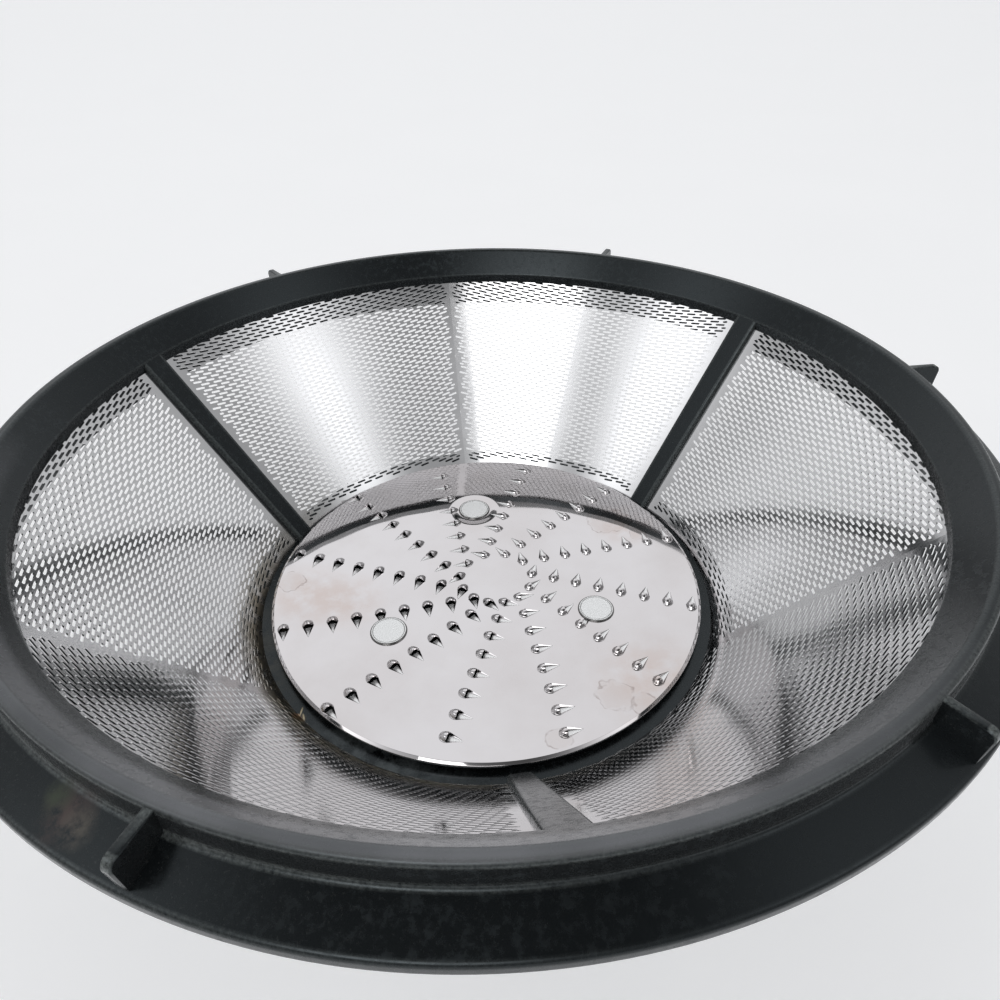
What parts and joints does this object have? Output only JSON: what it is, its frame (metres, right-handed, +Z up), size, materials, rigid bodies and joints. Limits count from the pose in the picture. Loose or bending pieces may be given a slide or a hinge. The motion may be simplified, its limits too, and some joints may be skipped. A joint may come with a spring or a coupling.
{
  "type": "juicer filter basket",
  "caption": "Conical filter basket for a centrifugal juicer: perforated steel cone in a black moulded frame, with a riveted steel grating disc as its floor.",
  "frame": {"origin": "on the axis, at the lower face of the foot ring", "axes": "+Z up along the axis, out of the bowl's mouth; +Y away from the viewer of the picture"},
  "size_m": [0.1686, 0.1686, 0.0571],
  "materials": {
    "black_plastic": "satin, with worn edges and dust",
    "screen_steel": "bright perforated sheet",
    "disc_steel": "polished, with water stains",
    "rivet_metal": "frosted"
  },
  "bodies": {
    "root": {"basket_frame": "black_plastic", "screen_cone": "screen_steel", "grating_disc": "disc_steel", "disc_rivets": "rivet_metal"}
  },
  "joints": []
}
